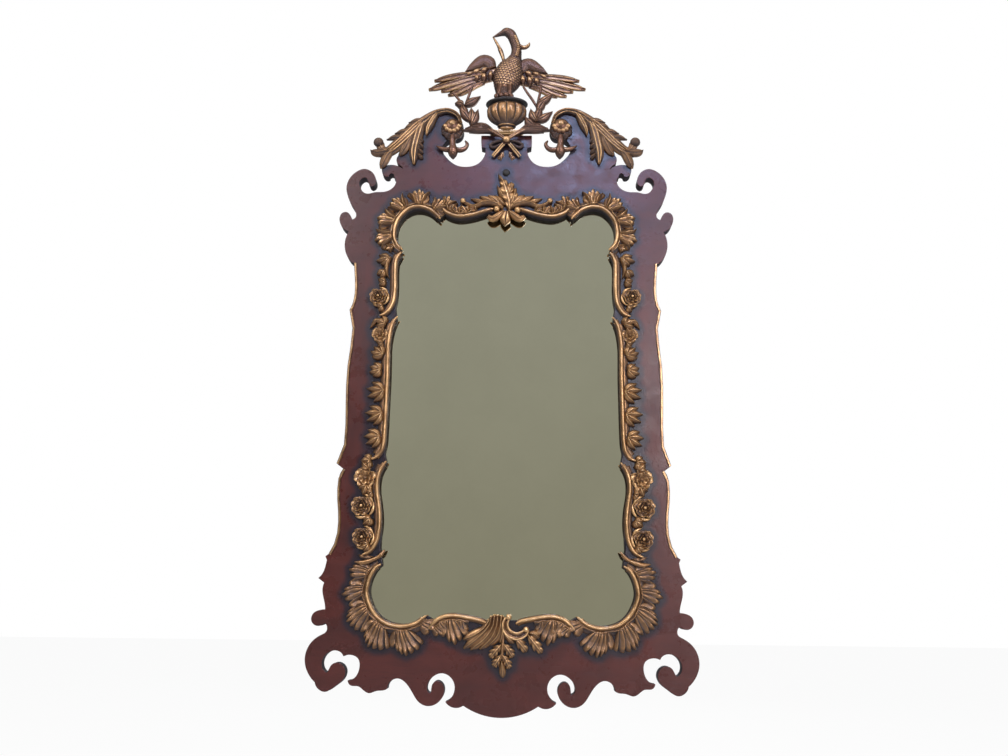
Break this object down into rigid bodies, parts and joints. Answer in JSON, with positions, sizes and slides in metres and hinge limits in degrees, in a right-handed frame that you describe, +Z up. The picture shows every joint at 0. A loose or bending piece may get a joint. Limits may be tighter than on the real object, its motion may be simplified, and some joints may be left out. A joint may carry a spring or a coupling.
{
  "type": "carved wall mirror",
  "caption": "Tall wall mirror with a pierced fret frame, a gilt carved border round the glass, and a crest of swan-neck leaves, urn and bird; hangs from two rings.",
  "frame": {"origin": "on the wall plane, midway between the two hanger pivots", "axes": "+Z up the wall, +X to the right seen from the front, +Y into the wall, so the front looks along -Y"},
  "size_m": [0.64, 0.0693, 1.2888],
  "materials": {
    "mahogany": "dark polished mahogany",
    "gilding": "carved wood, gilded and worn",
    "pine": "bare pine",
    "silvered_glass": "silvered glass",
    "backboard": "bare hardboard",
    "steel": "zinc plated",
    "felt": "dark felt"
  },
  "bodies": {
    "mirror": {"apron_board": "mahogany", "backboard": "backboard", "bird": "gilding", "bottom_acanthus": "gilding", "crest_batten": "pine", "crest_board": "mahogany", "glazing_points": "steel", "hanger_screws": "steel", "left_bottom_corner_ruffle": "gilding", "left_bottom_rail": "gilding", "left_bottom_ruffle": "gilding", "left_bottom_scroll": "gilding", "left_branch": "gilding", "left_edge_bead": "gilding", "left_flower_trail": "gilding", "left_hanger_strap": "steel", "left_husk_pendant": "gilding", "left_lower_rail": "gilding", "left_middle_rail": "gilding", "left_rosette": "gilding", "left_stile_board": "mahogany", "left_subframe_stile": "pine", "left_swan_leaf": "gilding", "left_top_corner_ruffle": "gilding", "left_top_rail": "gilding", "left_top_ruffle": "gilding", "left_top_scroll": "gilding", "left_upper_rail": "gilding", "left_wing": "gilding", "mirror_glass": "silvered_glass", "plinth_cap": "gilding", "ribbon_bow": "gilding", "right_bottom_corner_ruffle": "gilding", "right_bottom_rail": "gilding", "right_bottom_ruffle": "gilding", "right_bottom_scroll": "gilding", "right_branch": "gilding", "right_edge_bead": "gilding", "right_flower_trail": "gilding", "right_hanger_strap": "steel", "right_husk_pendant": "gilding", "right_lower_rail": "gilding", "right_middle_rail": "gilding", "right_rosette": "gilding", "right_stile_board": "mahogany", "right_subframe_stile": "pine", "right_swan_leaf": "gilding", "right_top_corner_ruffle": "gilding", "right_top_rail": "gilding", "right_top_ruffle": "gilding", "right_top_scroll": "gilding", "right_upper_rail": "gilding", "right_wing": "gilding", "subframe_bottom_rail": "pine", "subframe_top_rail": "pine", "top_acanthus": "gilding", "urn": "gilding", "wall_bumpers": "felt"},
    "left_ring": {"left_hanger_ring": "steel"},
    "right_ring": {"right_hanger_ring": "steel"}
  },
  "joints": [
    {"name": "left_ring_turn", "type": "hinge", "parent": "mirror", "child": "left_ring", "pos_m": [-0.245, -0.0032, 0], "axis": [1, 0, 0], "range_deg": [0, 180]},
    {"name": "right_ring_turn", "type": "hinge", "parent": "mirror", "child": "right_ring", "pos_m": [0.245, -0.0032, 0], "axis": [1, 0, 0], "range_deg": [0, 180]}
  ]
}
